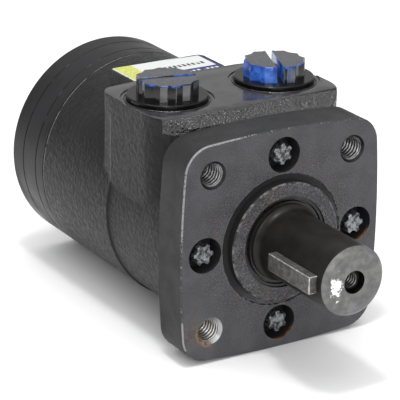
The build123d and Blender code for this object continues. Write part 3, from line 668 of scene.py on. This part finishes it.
bm = cad_mesh("housing")
round_edges(bm, 0.45 * mm, outer_edge)
bmesh.ops.triangulate(bm, faces=bm.faces)
densify(bm, lambda p: outer_skin(p) and p.z < pad_top - 0.01 * mm, 1.5 * mm)
densify(bm, on_slope, 0.4 * mm)
bm.normal_update()
use_material(bm, 2, lambda middle, normal: normal.z > 0.98 and middle.z > pad_top - 0.5 * mm)
use_material(bm, 1, lambda middle, normal: on_slope(middle) and (normal.z > 0.3 or normal.y < -0.3))

# lumps of the casting, in millimetres of lift, fading out at the machined pad
moves = []
for v in bm.verts:
    p = v.co
    if not outer_skin(p) or p.y < flange_back + 0.3 * mm or p.y > barrel_rear - 1 * mm:
        continue
    fade = min(1, (pad_top - p.z) / (0.5 * mm)) if p.y < 66 * mm else 1
    if fade <= 0:
        continue
    lumps = slope_lumps if on_slope(p) else cast_lumps
    lift = sum(height * noise.noise(p / size) for size, height in lumps)
    moves.append((v, v.normal * lift * fade * mm))
for v, move in moves:
    v.co += move
new_piece("housing_casting", bm, ["black_casting", "slope", "pad"], "motor_body",
          ["housing"], sharp_angle=40)

# ---------------------------------------------------------------- shaft end
bm = cad_mesh("output_shaft")
drop_faces(bm, lambda p: math.hypot(p.x, p.z) < tip_mouth + 0.02 * mm and p.y < shaft_tip + tip_hole_reach)
threaded_hole(bm, (0, 0), shaft_tip, tip_mouth, tip_throat, tip_mouth_depth, tip_minor, tip_major,
              tip_thread_pitch, tip_thread_depth, 1)
new_piece("shaft_and_spool", bm, ["shaft_steel", "tip_thread"], "shaft", ["output_shaft"])

# ---------------------------------------------------------------- port plugs
for side in port_centres:
    bm = cad_mesh(f"port_plug_{side}")
    round_edges(bm, 0.3 * mm, lambda p: p.z > disc_top + 0.3 * mm, 2, 20)
    use_material(bm, 1, lambda middle, normal: middle.z < disc_top + 0.01 * mm)
    head = "plug_plastic" if side == "left" else "plug_plastic_right"
    new_piece(f"plug_{side}_moulding", bm, [head, "plug_disc"], f"plug_{side}",
              [f"port_plug_{side}"])

# ---------------------------------------------------------------- key
bm = cad_mesh("shaft_key")
bmesh.ops.dissolve_limit(bm, angle_limit=math.radians(1), verts=bm.verts, edges=bm.edges)
bm.normal_update()
# the chamfer faces take the lighter edge finish: worn steel and painted highlight
use_material(bm, 1, lambda middle, normal: max(abs(c) for c in normal) < 0.95)
new_piece("square_key", bm, ["key_steel", "key_edge_wear_and_highlight"], "shaft", ["shaft_key"])

# ---------------------------------------------------------------- paint pooled round the plug discs
around, across = 180, 10
bead_radius, bead_depth = 15.5 * mm, 0.36 * mm
for side, (cx, cy) in port_centres.items():
    bm = bmesh.new()
    rings = []
    for i in range(around):
        turn = 2 * math.pi * i / around
        place = Vector((math.cos(turn), math.sin(turn), 0))
        wobble = noise.noise(place * 9 + Vector((cx, cy, 0)) * 100)
        section = (0.34 + 0.14 * wobble) * mm
        ring = []
        for k in range(across):
            angle = 2 * math.pi * k / across
            out = bead_radius + section * math.cos(angle)
            ring.append(bm.verts.new((cx + out * place.x, cy + out * place.y,
                                      pad_top - bead_depth + section * math.sin(angle))))
        rings.append(ring)
    for i in range(around):
        near, far = rings[i], rings[(i + 1) % around]
        for k in range(across):
            m = (k + 1) % across
            bm.faces.new((near[k], far[k], far[m], near[m]))
    bmesh.ops.recalc_face_normals(bm, faces=bm.faces)
    new_piece(f"paint_bead_{side}", bm, ["plug_rubber"], "motor_body")

# ---------------------------------------------------------------- floor, light and camera
floor_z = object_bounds()[0][2]
reach = 3.0
floor_mesh = bpy.data.meshes.new("studio_floor")
floor_mesh.from_pydata([(-reach, -reach, floor_z), (reach, -reach, floor_z),
                        (reach, reach, floor_z), (-reach, reach, floor_z)], [], [(0, 1, 2, 3)])
floor = bpy.data.objects.new("studio_floor", floor_mesh)
scene.collection.objects.link(floor)
paper = Shader("studio_floor", 0.9, specular=0.2)
paper.link(paper.mix(paper.noise(0.5), (0.9, 0.9, 0.9), (0.92, 0.92, 0.92)), "Base Color")
floor_mesh.materials.append(paper.mat)


def soft_panel(name, place, target, width, height, power):
    data = bpy.data.lights.new(name, "AREA")
    data.shape = "RECTANGLE"
    data.size, data.size_y, data.energy = width, height, power
    lamp = bpy.data.objects.new(name, data)
    scene.collection.objects.link(lamp)
    lamp.location = place
    lamp.rotation_euler = (Vector(target) - Vector(place)).to_track_quat("-Z", "Y").to_euler()


soft_panel("front_panel", (-0.55, -1.3, 0.55), (0.0, 0.0, 0.0), 0.8, 0.6, 9.0)
soft_panel("overhead_panel", (-0.1, 0.0, 1.25), (0.0, 0.04, 0.0), 1.3, 1.3, 7.0)
soft_panel("glint_panel", (-0.16, -0.08, 1.0), (0.0, 0.02, 0.04), 0.13, 0.13, 3.2)

world = bpy.data.worlds.new("studio")
world.use_nodes = True
backdrop = world.node_tree.nodes["Background"]
backdrop.inputs["Color"].default_value = (1, 1, 1, 1)
sky_place = world.node_tree.nodes.new("ShaderNodeTexCoord")
sky_height = world.node_tree.nodes.new("ShaderNodeSeparateXYZ")
sky_level = world.node_tree.nodes.new("ShaderNodeMapRange")
for socket, value in (("From Min", 0.0), ("From Max", 0.9), ("To Min", 0.42), ("To Max", 0.95)):
    sky_level.inputs[socket].default_value = value
world.node_tree.links.new(sky_place.outputs["Generated"], sky_height.inputs[0])
world.node_tree.links.new(sky_height.outputs[2], sky_level.inputs["Value"])
world.node_tree.links.new(sky_level.outputs["Result"], backdrop.inputs["Strength"])
scene.world = world
scene.view_settings.view_transform = "Standard"

camera_data = bpy.data.cameras.new("camera")
camera_data.sensor_width = 36.0
camera_data.lens = 201.73
camera = bpy.data.objects.new("camera", camera_data)
scene.collection.objects.link(camera)
camera.matrix_world = Matrix((
    (0.85226, 0.17093, -0.49441, -0.41525),
    (-0.52283, 0.30973, -0.79418, -0.61182),
    (0.01739, 0.93535, 0.35333, 0.29346),
    (0, 0, 0, 1)))
scene.camera = camera
